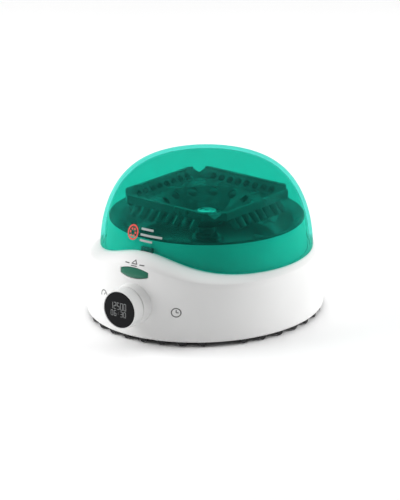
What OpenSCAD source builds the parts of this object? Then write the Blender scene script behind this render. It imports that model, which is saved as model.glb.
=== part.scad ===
// Mini laboratory centrifuge: an oval bench housing, a hinged dome lid, a square combination rotor,
// a turn-and-press display knob and a lid release button.
// +Z is up and the front faces -Y. The origin is on the bench, under the middle of the overall box.

/* [Housing] */
// Half width of the housing at its lower edge
base_half_w = 97; // [95:0.5:99]
// Half depth of the housing at its lower edge
base_half_d = 106.2; // [104.2:0.2:108]
// Half width of the housing at its shoulder
crest_half_w = 93.3; // [92.3:0.1:94.3]
// Half depth of the housing at its shoulder
crest_half_d = 101; // [100:0.2:102]
// Height of the shoulder at the sides and the rear
crest_z = 51.4; // [50.4:0.1:52.4]
// Height of the housing's lower edge above the bench
skirt_z = 4; // [3.6:0.1:4.4]
// Wall thickness of the housing
shell_t = 2.6; // [2:0.1:3]

/* [Lid] */
// Outer radius of the lid at its lower edge
lid_r = 89.6; // [89.2:0.1:90]
// Height of the lid's lower edge at the sides and the rear
lid_z = 55.4; // [55:0.1:55.8]
// Height of the top of the lid
lid_top = 132.6; // [130:0.2:136]
// Wall thickness of the lid
lid_t = 3.4; // [3:0.1:3.5]
// How far the lid's edge rises over the brow at the front
brow_rise = 17; // [15:0.5:18]
// Half width over which the brow rises
brow_w = 45.5; // [42:0.5:48]

/* [Chamber] */
// Height of the chamber bowl's rim
bowl_rim_z = 82.5; // [82:0.1:82.8]
// Radius of the chamber bowl's rim
bowl_r = 81.9; // [81.4:0.1:82]

/* [Rotor] */
// Distance from the spin axis to a side of the square rotor
rotor_h = 54.5; // [54:0.25:55]
// Height of the rotor's top edge
rotor_top = 103; // [102:0.5:104]
// Direction of the rotor's first corner at rest
rotor_turn = 40.2; // [0:0.1:90]
// Radius of a well for a single tube
tube_r = 4.2; // [4:0.1:4.3]
// Radius of the circle of single tube wells, at their mouths
tube_circle_r = 34; // [33.8:0.1:34.1]
// Pitch of the wells of a tube strip
strip_pitch = 9; // [8.8:0.1:9]

/* [Controls] */
// Radius of the knob
knob_r = 16.3; // [16:0.1:16.6]
// Height of the knob's axis
knob_z = 32; // [31:0.5:33]
// Front face of the knob
knob_face_y = -114.8; // [-115.2:0.1:-114.6]
// Height of the release button's centre
button_z = 58.3; // [58:0.1:58.6]
// Width of the release button
button_w = 27; // [25:0.5:28]
// Height of the release button
button_h = 8.6; // [8:0.1:9]

/* [Hidden] */
// Centre of the lid, chamber and rotor, and of the housing's two ovals
axis_y = 10;
base_y = 8.65;
crest_y = 5.95;

// Housing and lid
around = 72;
edge_drop = 4;
brow_drop = 5.5;
lid_gap = 0.4;
seat_r = 84.9;
seat_t = 3;
lid_rise = 1.026;
lid_round = 0.548;
lid_steps = 18;

// Base
plate_inset = 3.4;
plate_z = 4.4;
plate_t = 2.4;
plate_top = plate_z + plate_t;
rib_r = 3.6;
rib_count = 36;
rib_phase = 5.8;
rib_bottom = 0.5;
rib_inset = 1.8;
rib_step = 2;
rib_gap = 0.1;
foot_x = 56;
foot_y = 60;
boss_inset = shell_t + 3.6;
boss_top = 26;

// Hinge at the rear of the lid
hinge_y = 104.2;
hinge_z = 59;
pin_r = 1.5;
knuckle_r = 4;
ear_in = 20.5;
lid_screw_x = 13;
lid_screw_z = 68.4;
lid_screw_y = axis_y + lid_r + 1.6;
sensor_turn = 160;
magnet_r = 84.7;
ear_t = 7;

// Collar, bowl and drive
collar_r = 84.6;
collar_t = 2.4;
collar_top = bowl_rim_z - 2;
shaft_r = 2.5;
bearing_r = 8;
bearing_t = 5;
can_r = 24;
can_z = 12;
cap_z = 42;
coil_z = 20;
coil_top = 36;
bracket_z = 44;
bracket_t = 3;
screw_r = 1.5;
screw_circle_r = 16;
post_r = 38;
post_top = 36;
hub_top = 76.5;
corner_r = 67.5;

// Button and latch; blunting is how much longer the button would be with pointed ends
blunting = 9;
hook_in = 84.3;
hook_out = 86.5;
hook_half_w = 5.5;
hook_bottom = 53.6;
slider_z = 56.4;
slider_t = 2.2;
slider_front_y = -89.4;
slider_rear_y = -71.2;
slider_window_y = -73.6;
latch_post_x = 8;
guide_rear_y = -65.2;

// Knob, front to rear
ring_rear_y = -104.2;
collar_front_y = -103.4;
wall_y = -96;
sleeve_r = 14.6;
sleeve_rear_y = -97;
stem_r = 12.5;
stem_rear_y = -87.6;
window_rear_y = -113.2;
ring_step_y = -110;
encoder_y = -91;
board_y = -84;
board_t = 1.6;
board_hole_x = 27;
board_hole_z = 16;

// Power inlet and switch, at angles from the front
inlet_z = 22;
inlet_a = 162;
switch_a = 198;
rocker_tilt = 8;
rocker_y = -3;

// ---- shared helpers

function mix(a, b, t) = a + (b - a) * t;

// A ring about the spin axis, from its half section
module turned(points) {
  translate([0, axis_y, 0]) rotate_extrude($fn = 96) polygon(points);
}

// A round bar, disc or hole on a vertical axis
module post(x, y, z0, z1, r) {
  translate([x, y, z0]) cylinder(h = z1 - z0, r = r, $fn = 48);
}

// A round bar or hole along Y
module bar_y(x, z, y0, y1, r) {
  translate([x, y0, z]) rotate([-90, 0, 0]) cylinder(h = y1 - y0, r = r, $fn = 64);
}

// A round bar or hole along X
module bar_x(x0, x1, y, z, r) {
  translate([x0, y, z]) rotate([0, 90, 0]) cylinder(h = x1 - x0, r = r, $fn = 48);
}

// A box from its lowest corner to its highest corner
module block(low, high) {
  translate(low) cube(high - low);
}

// A pan-head screw that points down, with its head's seat at z
module screw(x, y, z, length, r) {
  post(x, y, z - length, z, r);
  post(x, y, z, z + 1.2 * r, 1.9 * r);
}

module every(count, first = 0) {
  for (i = [0 : count - 1])
    translate([0, axis_y, 0]) rotate(first + i * 360 / count) children();
}

// ---- housing surface: angle a runs from the front (-Y) towards +X

// How much of the front brow there is at an angle, from 0 to 1
function side_x(a) = lid_r * (cos(a) > 0 ? abs(sin(a)) : 1);
function brow(a) = exp(-pow(side_x(a) / brow_w, 2));

function seat_z(a) = lid_z - lid_gap + brow_rise * brow(a);
function edge_z(a) = seat_z(a) - edge_drop - brow_drop * brow(a);

// A point of the tapered oval wall, set in by a distance
function wall_point(a, z, inset) =
  let (t = (z - skirt_z) / (crest_z - skirt_z))
  [(mix(base_half_w, crest_half_w, t) - inset) * sin(a),
   mix(base_y, crest_y, t) - (mix(base_half_d, crest_half_d, t) - inset) * cos(a),
   z];

// Places children on the wall at an angle, at the power inlet's height, with +Y straight outwards
module at_rear(a) {
  t = (inlet_z - skirt_z) / (crest_z - skirt_z);
  tilt = atan2(sin(a) / mix(base_half_w, crest_half_w, t), -cos(a) / mix(base_half_d, crest_half_d, t));
  translate(wall_point(a, inlet_z, 0)) rotate(-tilt) children();
}

// A point on a circle about the spin axis
function round_point(a, r, z) = [r * sin(a), axis_y - r * cos(a), z];

// The shoulder rolls from the wall, at turn 0, in to the lid's edge, at turn 90
function shoulder_point(a, turn) =
  let (p = mix(1.15, 2, brow(a)),
       low = wall_point(a, edge_z(a), 0),
       high = round_point(a, lid_r, seat_z(a)),
       inward = 1 - pow(cos(turn), 2 / p),
       upward = pow(sin(turn), 2 / p))
  [mix(low[0], high[0], inward), mix(low[1], high[1], inward), mix(low[2], high[2], upward)];

// One section of the shell: up the outside, over the shoulder, and down the inside
function shell_section(a) = [
  wall_point(a, skirt_z, 1.6),
  wall_point(a, skirt_z + 0.5, 0.5),
  wall_point(a, skirt_z + 2.2, 0),
  wall_point(a, mix(skirt_z, edge_z(a), 0.5), 0),
  for (turn = [0 : 22.5 : 90]) shoulder_point(a, turn),
  round_point(a, seat_r, seat_z(a)),
  round_point(a, seat_r, seat_z(a) - seat_t),
  wall_point(a, edge_z(a) - 2.4, shell_t),
  wall_point(a, skirt_z, shell_t)
];

// Closes a ring of equal sections into a solid
module ring_solid(sections) {
  n = len(sections);
  m = len(sections[0]);
  polyhedron(
    points = [for (s = sections) for (p = s) p],
    faces = [
      for (i = [0 : n - 1]) for (j = [0 : m - 1])
        let (a = i * m + j,
             b = ((i + 1) % n) * m + j,
             c = ((i + 1) % n) * m + (j + 1) % m,
             d = i * m + (j + 1) % m)
          each [[a, d, c], [a, c, b]]
    ]);
}

// The release button's outline as a solid along Y: where three round bars cross
module lens_bar(width, height, y0, y1) {
  tip = width + blunting;
  r = (tip * tip / 4 + height * height / 4) / height;
  intersection() {
    bar_y(0, button_z + r - height / 2, y0, y1, r);
    bar_y(0, button_z - r + height / 2, y0, y1, r);
    bar_y(0, button_z, y0, y1, width / 2);
  }
}

// ---- housing and base

module hinge_ear(side) {
  x0 = side > 0 ? ear_in : -ear_in - ear_t;
  bar_x(x0, x0 + ear_t, hinge_y, hinge_z, knuckle_r);
  block([x0, hinge_y - knuckle_r, 51.5], [x0 + ear_t, hinge_y + knuckle_r, hinge_z]);
}

module screw_boss(a) {
  p = wall_point(a, boss_top / 2, boss_inset);
  post(p[0], p[1], plate_top, boss_top, 4.4);
}

module boss_hole(a, z0, z1, r) {
  p = wall_point(a, boss_top / 2, boss_inset);
  post(p[0], p[1], z0, z1, r);
}

module upper_housing() {
  color("white")
    difference() {
      union() {
        ring_solid([for (i = [0 : around - 1]) shell_section(i * 360 / around)]);
        for (side = [-1, 1]) hinge_ear(side);
        for (a = [45 : 90 : 315]) screw_boss(a);
      }
      bar_x(-30, 30, hinge_y, hinge_z, pin_r + 0.02);
      for (a = [45 : 90 : 315]) boss_hole(a, plate_top - 1, boss_top - 3, 1.3);
      bar_y(0, knob_z, wall_y - 6, wall_y + 12, sleeve_r + 1.4);
      lens_bar(button_w + 0.8, button_h + 0.8, wall_y - 6, wall_y + 10);
      block([-7, axis_y - 87.8, 60], [7, axis_y - 83, 80]);
      at_rear(inlet_a) bar_y(0, 0, -14, 8, 5.1);
      at_rear(switch_a) block([-10.2, -14, -6.7], [10.2, 8, 6.7]);
      at_rear(switch_a) block([-11.7, -0.9, -8.2], [11.7, 8, 8.2]);
      for (x = [-24 : 6 : 24]) block([x - 1.2, 100, 33], [x + 1.2, 120, 46]);
    }
}

// The base plate's oval outline
function base_outline(inset) = [
  for (a = [0 : 5 : 355])
    let (p = wall_point(a, skirt_z, inset)) [p[0], p[1]]
];

// One half-round rib that points outwards under the plate. Its tip passes below the housing's edge.
module rim_rib(a) {
  p = wall_point(a, skirt_z, rib_inset);
  q = wall_point(a, skirt_z, plate_inset + 16);
  reach = norm([p[0] - q[0], p[1] - q[1]]);
  translate([p[0], p[1], rib_bottom + rib_r])
    rotate(atan2(q[1] - p[1], q[0] - p[0]))
      rotate([0, 90, 0])
        difference() {
          cylinder(h = reach, r = rib_r, $fn = 32);
          rib_cutter(plate_z + 1, reach + 2);
          rib_cutter(skirt_z - rib_gap, rib_step + 1);
        }
}

// Takes off what stands over a height, along a length of a rib that lies on its side
module rib_cutter(z, length) {
  translate([rib_bottom - rib_r - z, -rib_r - 1, -1])
    cube([2 * rib_r, 2 * rib_r + 2, length]);
}

module base_plate() {
  color("#1c1c1e")
    difference() {
      union() {
        translate([0, 0, plate_z]) linear_extrude(plate_t) polygon(base_outline(plate_inset));
        for (i = [0 : rib_count - 1]) if (i % 9 != 4) rim_rib(rib_phase + i * 360 / rib_count);
        for (k = [0 : 3]) every(1, 45 + 90 * k) post(post_r, 0, plate_z + 1, post_top, 5);
      }
      for (k = [0 : 3]) every(1, 45 + 90 * k) post(post_r, 0, post_top - 12, post_top + 1, screw_r);
      for (a = [45 : 90 : 315]) {
        boss_hole(a, plate_z - 1, plate_top + 1, 1.7);
        boss_hole(a, plate_z - 1, plate_z + 1.2, 3.2);
      }
      for (x = [-foot_x, foot_x]) for (y = [axis_y - foot_y, axis_y + foot_y])
        post(x, y, plate_z - 1, plate_top + 1, 3);
      for (x = [-28 : 8 : 28]) for (y = [-58, 50]) block([x - 1.5, y, 0], [x + 1.5, y + 26, 8]);
    }
}

module rubber_feet() {
  color("#101010")
    for (x = [-foot_x, foot_x]) for (y = [axis_y - foot_y, axis_y + foot_y]) {
      translate([x, y, 0]) cylinder(h = plate_z, r1 = 6.4, r2 = 7.4, $fn = 48);
      post(x, y, plate_z - 0.1, plate_top + 0.2, 2.96);
      post(x, y, plate_top + 0.1, plate_top + 1.5, 3.8);
    }
}

module base_screws() {
  color("silver")
    for (a = [45 : 90 : 315]) {
      boss_hole(a, plate_z + 1.2, plate_top + 12, 1.25);
      boss_hole(a, plate_z - 0.2, plate_z + 1.2, 2.9);
    }
}

// ---- chamber

module chamber_collar() {
  color("white")
    difference() {
      turned([
        [bowl_r, collar_top], [collar_r, 57], [collar_r, 50.6], [87, 50.6], [87, 48.4],
        [collar_r - collar_t, 48.4], [collar_r - collar_t, 57], [bowl_r - collar_t, collar_top]
      ]);
      block([-11, axis_y - 90, 51], [11, axis_y - 70, 64]);
    }
}

module chamber_bowl() {
  color("#2b2d2f")
    turned([
      [bowl_r, collar_top], [bowl_r, bowl_rim_z], [bowl_r - 1.3, bowl_rim_z - 0.1],
      [71.6, 78.2], [69.6, 70], [66.6, 63], [60, 59.2], [15, 59.2], [13, 62], [bearing_r, 62],
      [bearing_r, 57], [60.6, 57], [68.5, 61.6], [71.8, 69.6], [73.6, 77], [bowl_r - 2.6, collar_top]
    ]);
}

module shaft_seal() {
  color("#111111")
    turned([[shaft_r + 0.3, 58], [bearing_r, 57], [bearing_r, 62], [9.6, 62], [9.6, 63.2],
            [shaft_r + 2, 63.2], [shaft_r + 0.3, 62]]);
}

// ---- lid

// Half section of the dome; turn runs from the lower edge, at 0, up to the pole, at 90
function dome_point(turn, inset) =
  [(lid_r - inset) * pow(cos(turn), lid_round),
   mix(lid_z, lid_top - inset, pow(sin(turn), lid_rise))];

function dome_points(inset) = [for (i = [0 : lid_steps]) dome_point(i * 90 / lid_steps, inset)];

function reversed(list) = [for (i = [len(list) - 1 : -1 : 0]) list[i]];

// Removes what lies under the lid's edge: a wave over the brow, and level at the sides and rear
module brow_cutter() {
  low = lid_z - 5;
  level = lid_z + brow_rise * exp(-pow(lid_r / brow_w, 2));
  block([-100, axis_y - 0.1, low], [100, axis_y + 100, level]);
  translate([0, axis_y, 0]) rotate([90, 0, 0])
    linear_extrude(120)
      polygon([
        [-90, low],
        for (x = [-90 : 6 : 90]) [x, lid_z + brow_rise * exp(-pow(x / brow_w, 2))],
        [90, low]
      ]);
}

module lid() {
  color("#12a084")
    difference() {
      turned(concat(dome_points(0), reversed(dome_points(lid_t))));
      brow_cutter();
      block([-hook_half_w - 0.1, -100, 60], [hook_half_w + 0.1, -60, 75.1]);
      for (x = [-lid_screw_x, lid_screw_x]) bar_y(x, lid_screw_z, 90, 110, 1.05);
    }
}

module lid_hook() {
  color("#2a2a2c")
    difference() {
      intersection() {
        turned([[hook_in, hook_bottom], [hook_out, hook_bottom], [hook_out, 75], [hook_in, 75]]);
        block([-hook_half_w, -100, 50], [hook_half_w, -60, 80]);
      }
      block([-3.2, -100, slider_z - 0.3], [3.2, -60, slider_z + slider_t + 0.5]);
    }
}

module lid_hinge_arm() {
  plate = [
    [lid_r + 0.15, 57], [lid_r + 2.2, 57], [lid_r + 2.2, 68], [lid_r + 1, 72], [lid_r - 1.15, 72],
    [lid_r - 0.7, 69], [lid_r - 0.4, 66]
  ];
  color("#e8e8e8")
    difference() {
      union() {
        intersection() {
          turned(plate);
          block([-19.5, 60, 50], [19.5, 120, 80]);
        }
        for (x0 = [-19.5, 7.5]) {
          bar_x(x0, x0 + 12, hinge_y, hinge_z, knuckle_r);
          block([x0, axis_y + lid_r + 1, hinge_z - 2], [x0 + 12, hinge_y, hinge_z + knuckle_r]);
        }
      }
      bar_x(-30, 30, hinge_y, hinge_z, pin_r + 0.06);
      block([-7.5, hinge_y - 5.2, hinge_z - 5.2], [7.5, hinge_y + 6, hinge_z + 5.2]);
      for (x = [-lid_screw_x, lid_screw_x]) bar_y(x, lid_screw_z, 90, 110, 1.05);
    }
}

module lid_screws() {
  color("silver")
    for (x = [-lid_screw_x, lid_screw_x]) {
      bar_y(x, lid_screw_z, 95.4, lid_screw_y + 0.1, 1);
      bar_y(x, lid_screw_z, lid_screw_y, lid_screw_y + 1.2, 1.9);
    }
}

// A small disc bonded inside the lid, over the sensor in the housing
module lid_magnet() {
  color("silver")
    translate([0, axis_y, lid_z + 6]) rotate(sensor_turn) rotate([0, 90, 0])
      translate([0, 0, magnet_r]) cylinder(h = 0.8, r = 2, $fn = 48);
}

module hinge_pin() {
  color("silver")
    bar_x(-ear_in - ear_t, ear_in + ear_t, hinge_y, hinge_z, pin_r);
}

module lid_spring() {
  wire = 0.45;
  color("silver") {
    for (i = [-4 : 4])
      translate([i * 1.1, hinge_y, hinge_z]) rotate([0, 90, 0])
        rotate_extrude($fn = 32) translate([2.7, 0]) circle(r = wire, $fn = 16);
  }
}

// ---- latch

module release_button() {
  color("#2f9a78")
    union() {
      lens_bar(button_w, button_h, wall_y + 0.4, -90.7);
      block([-11, -90.8, button_z - 5.6], [11, slider_front_y, button_z + 1.4]);
    }
}

// A flat slider with a window for the lid hook and a nose that locks it
module latch_slider() {
  color("#d8d8d8")
    union() {
      difference() {
        block([-9, slider_front_y, slider_z], [9, slider_rear_y, slider_z + slider_t]);
        block([-6.6, axis_y - hook_out - 2.8, slider_z - 1], [6.6, slider_window_y, slider_z + slider_t + 1]);
      }
      block([-2.7, -74, slider_z], [2.7, slider_window_y + 0.1, slider_z + slider_t]);
    }
}

module latch_spring() {
  color("silver")
    for (y = [slider_rear_y + 0.5 : 1.3 : guide_rear_y - 0.4])
      translate([0, y, slider_z + slider_t / 2]) rotate([90, 0, 0])
        rotate_extrude($fn = 32) translate([2.2, 0]) circle(r = 0.4, $fn = 16);
}

// A tray on two legs that carries the slider and backs its spring
module latch_guide() {
  color("#e8e8e8")
    difference() {
      union() {
        block([-9.8, -86.4, slider_z - 4], [9.8, guide_rear_y + 1, slider_z - 0.2]);
        block([-9.8, guide_rear_y, slider_z - 4], [9.8, guide_rear_y + 2, slider_z + 4]);
        for (x = [-latch_post_x, latch_post_x]) post(x, -79.5, plate_top, slider_z - 1, 2.6);
      }
      block([-6.6, axis_y - hook_out - 1.2, 40], [6.6, slider_rear_y - 1.4, 60]);
      block([-3.2, slider_rear_y - 1.5, slider_z - 1.9], [3.2, guide_rear_y - 0.02, 60]);
    }
}

// ---- rotor and drive

// One side of the square rotor, from its half section, with mitred ends
module rotor_side(section) {
  intersection() {
    translate([0, 60, 0]) rotate([90, 0, 0]) linear_extrude(120) polygon(section);
    linear_extrude(rotor_top + 1) polygon([[0, 0], [80, -80], [80, 80]]);
  }
}

// The axis of a strip well: from the mouth on the sloping side, outwards and down
module strip_axis(offset) {
  translate([rotor_h - 7, offset, rotor_top - 5.2]) rotate([0, 135, 0]) children();
}

module rotor_body() {
  h = rotor_h;
  t = rotor_top;
  floor_top = t - 8;
  floor_low = floor_top - 2;
  // the cup is a 45 degree cone: its inner radius is its height less this
  cone = t - 46;
  cup_r = floor_top - cone;
  color("#25292b")
    translate([0, axis_y, 0]) rotate(rotor_turn - 45)
      difference() {
        union() {
          for (k = [0 : 3]) rotate(90 * k) {
            rotor_side([
              [h - 3.2, t], [h, t], [h, t - 6.8], [h - 5.2, t - 6.8], [h - 8.4, floor_low],
              [h - 12, floor_low], [h - 12, floor_top], [h - 9.8, floor_top], [h - 3.2, t - 1.4]
            ]);
            for (i = [-3.5 : 3.5]) strip_axis(i * strip_pitch)
              translate([0, 0, 0.8]) cylinder(h = 14.2, r1 = 4.1, r2 = 2.9, $fn = 32);
          }
          difference() {
            translate([11 - h, 11 - h, floor_low]) cube([2 * h - 22, 2 * h - 22, 2]);
            translate([0, 0, floor_low - 1]) cylinder(h = 4, r = cup_r + 2, $fn = 96);
          }
          rotate_extrude($fn = 96) polygon([
            [6, hub_top], [22.6, hub_top], [floor_low - cone + 3.1, floor_low], [cup_r + 3, floor_low],
            [cup_r + 3, floor_top], [cup_r, floor_top], [hub_top + 2.5 - cone, hub_top + 2.5],
            [6, hub_top + 2.5]
          ]);
        }
        for (k = [0 : 3]) rotate(90 * k) {
          for (i = [-3.5 : 3.5]) strip_axis(i * strip_pitch)
            translate([0, 0, -2]) cylinder(h = 19, r1 = 3.4, r2 = 1.5, $fn = 32);
          rotate(45) block([corner_r, -20, 60], [corner_r + 30, 20, t + 1]);
        }
        for (i = [0 : 11]) rotate(30 * i)
          translate([tube_circle_r, 0, tube_circle_r + cone]) rotate([0, 135, 0])
            cylinder(h = 20, r = tube_r, center = true, $fn = 48);
      }
}

module rotor_hub() {
  color("silver")
    difference() {
      union() {
        post(0, axis_y, 66, hub_top, 7);
        post(0, axis_y, 73.5, hub_top, 11);
        post(0, axis_y, hub_top - 0.1, 80.5, 5.97);
      }
      post(0, axis_y, 60, 90, shaft_r);
    }
}

module rotor_nut() {
  color("silver")
    difference() {
      turned([[6.1, 79], [9, 79], [9, 83.4], [8, 84.6], [shaft_r, 85.2], [shaft_r, 80.6], [6.1, 80.6]]);
      every(8) post(10.4, 0, 70, 90, 2);
    }
}

module motor_shaft() {
  color("silver") post(0, axis_y, 13.8, 84.8, shaft_r);
}

module armature() {
  color("#7a4a22")
    turned([[shaft_r, coil_z], [17.4, coil_z], [17.4, coil_top], [shaft_r, coil_top]]);
}

module motor_can() {
  color("#9a9ca0")
    turned([
      [bearing_r - 2, can_z], [can_r, can_z], [can_r, cap_z], [can_r - 1.5, cap_z],
      [can_r - 1.5, can_z + 1.5], [10, can_z + 1.5], [10, can_z + 1.5 + bearing_t],
      [bearing_r, can_z + 1.5 + bearing_t], [bearing_r, can_z + 1.5], [bearing_r - 2, can_z + 1.5]
    ]);
}

module motor_cap() {
  color("#9a9ca0")
    difference() {
      turned([
        [bearing_r - 2, cap_z], [bearing_r, cap_z], [bearing_r, cap_z - bearing_t],
        [10, cap_z - bearing_t], [10, cap_z], [can_r, cap_z], [can_r, bracket_z],
        [bearing_r - 2, bracket_z]
      ]);
      every(3) post(screw_circle_r, 0, 30, 60, screw_r);
    }
}

module stator() {
  color("#b87333") turned([[18, coil_z], [22.4, coil_z], [22.4, coil_top], [18, coil_top]]);
}

module bearings() {
  color("silver")
    for (z = [can_z + 1.5, cap_z - bearing_t])
      turned([[shaft_r + 0.04, z], [bearing_r, z], [bearing_r, z + bearing_t],
              [shaft_r + 0.04, z + bearing_t]]);
}

module motor_bracket() {
  color("#b9bcc0")
    difference() {
      post(0, axis_y, bracket_z, bracket_z + bracket_t, 46);
      post(0, axis_y, 0, 60, bearing_r);
      every(3) post(screw_circle_r, 0, 0, 60, screw_r);
      every(4, 45) post(post_r, 0, 0, 60, screw_r + 0.2);
      every(4) post(33, 0, 0, 60, 6);
    }
}

module rubber_dampers() {
  color("#151515")
    every(4, 45)
      difference() {
        post(post_r, 0, post_top, bracket_z, 6.5);
        post(post_r, 0, 0, 60, screw_r + 0.2);
      }
}

module bracket_screws() {
  color("silver") every(4, 45) screw(post_r, 0, bracket_z + bracket_t, 19, screw_r);
}

module motor_screws() {
  color("silver") every(3) screw(screw_circle_r, 0, bracket_z + bracket_t, 5.4, screw_r);
}

// ---- knob and display

// A ring about the knob's axis, from its half section [radius, y]
module knob_turned(points) {
  translate([0, 0, knob_z]) rotate([-90, 0, 0]) rotate_extrude($fn = 96) polygon(points);
}

// The front of the tapered oval wall as a solid block, set out by a small gap
module front_wall_block(gap) {
  hull()
    for (z = [12, 56])
      translate([0, 0, z]) linear_extrude(0.01)
        polygon([
          for (a = [-30 : 3 : 30]) let (p = wall_point(a, z, -gap)) [p[0], p[1]],
          [30, -70], [-30, -70]
        ]);
}

module knob_collar() {
  color("white")
    difference() {
      knob_turned([
        [sleeve_r + 0.3, collar_front_y], [knob_r + 0.5, collar_front_y],
        [knob_r + 1.1, wall_y + 5], [sleeve_r + 0.3, wall_y + 5]
      ]);
      front_wall_block(0.05);
    }
}

module knob_ring() {
  color("#f2f2f2")
    knob_turned([
      [15.3, knob_face_y + 0.1], [knob_r - 0.3, knob_face_y + 0.1], [knob_r, knob_face_y + 0.5],
      [knob_r + 0.4, ring_rear_y], [sleeve_r, ring_rear_y], [sleeve_r, sleeve_rear_y],
      [stem_r + 0.1, sleeve_rear_y], [stem_r + 0.1, ring_step_y], [15.3, ring_step_y]
    ]);
}

module knob_stem() {
  color("#e0e0e0")
    difference() {
      bar_y(0, knob_z, window_rear_y, stem_rear_y, stem_r);
      bar_y(0, knob_z, -114, stem_rear_y - 2, stem_r - 2);
    }
}

module display_window() {
  color("#0a0a0a")
    knob_turned([
      [0, knob_face_y], [14.8, knob_face_y], [15.1, knob_face_y + 0.3],
      [15.1, window_rear_y], [0, window_rear_y]
    ]);
}

module display_module() {
  color("#20303a")
    block([-8, window_rear_y, knob_z - 6], [8, window_rear_y + 1.6, knob_z + 6]);
}

module encoder() {
  color("#3a6b46")
    difference() {
      block([-15, encoder_y, knob_z - 15], [15, encoder_y + 2.2, knob_z + 15]);
      bar_y(0, knob_z, -95, -80, stem_r + 0.3);
    }
}

module push_switch() {
  color("#222222") {
    block([-3, board_y - 2.4, knob_z - 3], [3, board_y, knob_z + 3]);
    bar_y(0, knob_z, board_y - 3, board_y - 2.3, 1.6);
  }
}

module control_board() {
  color("#2a6b3c")
    difference() {
      block([-31, board_y, 12], [31, board_y + board_t, 45]);
      for (x = [-board_hole_x, board_hole_x]) bar_y(x, board_hole_z, -90, -80, 1.6);
    }
}

module board_parts() {
  y = board_y + board_t;
  color("#222222") {
    block([-24, y, 16], [-12, y + 1.8, 28]);
    block([12, y, 18], [20, y + 2.6, 24]);
    for (x = [17, 27]) bar_y(x, 38, y, y + 10.4, 4);
    block([-26, y, 34], [-12, y + 6.4, 40]);
  }
}

module board_standoffs() {
  color("silver")
    for (x = [-board_hole_x, board_hole_x]) {
      block([x - 3, board_y - 4.5, plate_top], [x + 3, board_y, board_hole_z + 4]);
      bar_y(x, board_hole_z, board_y - 0.1, board_y + 3, 1.55);
    }
}

module lid_sensor() {
  color("#2a6b3c")
    translate([0, axis_y, 0]) rotate(sensor_turn) block([84.8, -6, 40.4], [86.4, 6, 48.4]);
}

// ---- power

module dc_inlet() {
  color("#1a1a1a")
    at_rear(inlet_a)
      difference() {
        union() {
          bar_y(0, 0, -9, 0.7, 4.9);
          block([-5.5, -15, plate_top - inlet_z], [5.5, -4.6, 5.5]);
        }
        bar_y(0, 0, -11, 8, 3.2);
      }
}

module dc_inlet_pin() {
  color("gold") at_rear(inlet_a) bar_y(0, 0, -11, -0.6, 1);
}

module switch_frame() {
  color("#151515")
    at_rear(switch_a)
      difference() {
        union() {
          block([-11.5, -0.9, -8], [11.5, 0.7, 8]);
          block([-10, -14, -6.5], [10, 0, 6.5]);
        }
        block([-8.6, -11, -5.2], [8.6, 8, 5.2]);
      }
}

// The rocker rests tipped to one side; it turns about an upright axis through its middle
module switch_rocker() {
  color("#222222")
    at_rear(switch_a) translate([0, rocker_y, 0]) rotate(rocker_tilt)
      difference() {
        intersection() {
          block([-8, -5, -4.9], [8, 5, 4.9]);
          post(0, 0, -10, 10, 8);
        }
        post(0, 21, -10, 10, 18);
      }
}

upper_housing();
base_plate();
rubber_feet();
base_screws();
chamber_collar();
chamber_bowl();
shaft_seal();
lid();
lid_hook();
lid_hinge_arm();
lid_screws();
lid_magnet();
hinge_pin();
lid_spring();
release_button();
latch_slider();
latch_spring();
latch_guide();
rotor_body();
rotor_hub();
rotor_nut();
motor_shaft();
armature();
motor_can();
motor_cap();
stator();
bearings();
motor_bracket();
rubber_dampers();
bracket_screws();
motor_screws();
knob_collar();
knob_ring();
knob_stem();
display_window();
display_module();
encoder();
push_switch();
control_board();
board_parts();
board_standoffs();
lid_sensor();
dc_inlet();
dc_inlet_pin();
switch_frame();
switch_rocker();
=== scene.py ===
"""The looks of a bench centrifuge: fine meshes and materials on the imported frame.

Lengths in this file are in millimetres until new_mesh() turns them into metres. +Z is up, the front
faces -Y, and an angle round the housing runs from the front towards +X.
"""

import math

import bmesh
import bpy
from mathutils import Matrix, Vector


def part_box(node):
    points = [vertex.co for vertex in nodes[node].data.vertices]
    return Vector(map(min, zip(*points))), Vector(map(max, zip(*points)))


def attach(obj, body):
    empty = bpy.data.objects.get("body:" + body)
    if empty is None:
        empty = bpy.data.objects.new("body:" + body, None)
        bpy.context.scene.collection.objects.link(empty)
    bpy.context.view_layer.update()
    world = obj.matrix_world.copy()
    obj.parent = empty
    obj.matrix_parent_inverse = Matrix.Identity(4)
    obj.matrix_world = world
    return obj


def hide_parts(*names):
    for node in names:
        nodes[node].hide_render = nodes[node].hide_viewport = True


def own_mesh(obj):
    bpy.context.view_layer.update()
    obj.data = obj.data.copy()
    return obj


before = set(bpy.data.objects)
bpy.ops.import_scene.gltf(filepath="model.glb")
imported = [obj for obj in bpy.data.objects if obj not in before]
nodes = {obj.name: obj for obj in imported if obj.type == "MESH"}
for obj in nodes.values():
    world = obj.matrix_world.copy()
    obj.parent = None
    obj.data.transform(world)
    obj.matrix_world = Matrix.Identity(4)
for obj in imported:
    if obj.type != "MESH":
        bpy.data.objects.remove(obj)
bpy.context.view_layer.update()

MM = 0.001
TAU = 2 * math.pi


def box_mm(node):
    """Lowest and highest corner of a CAD node, in millimetres."""
    low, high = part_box(node)
    return low / MM, high / MM


# ---- driving dimensions, from the frame where it has them

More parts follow.
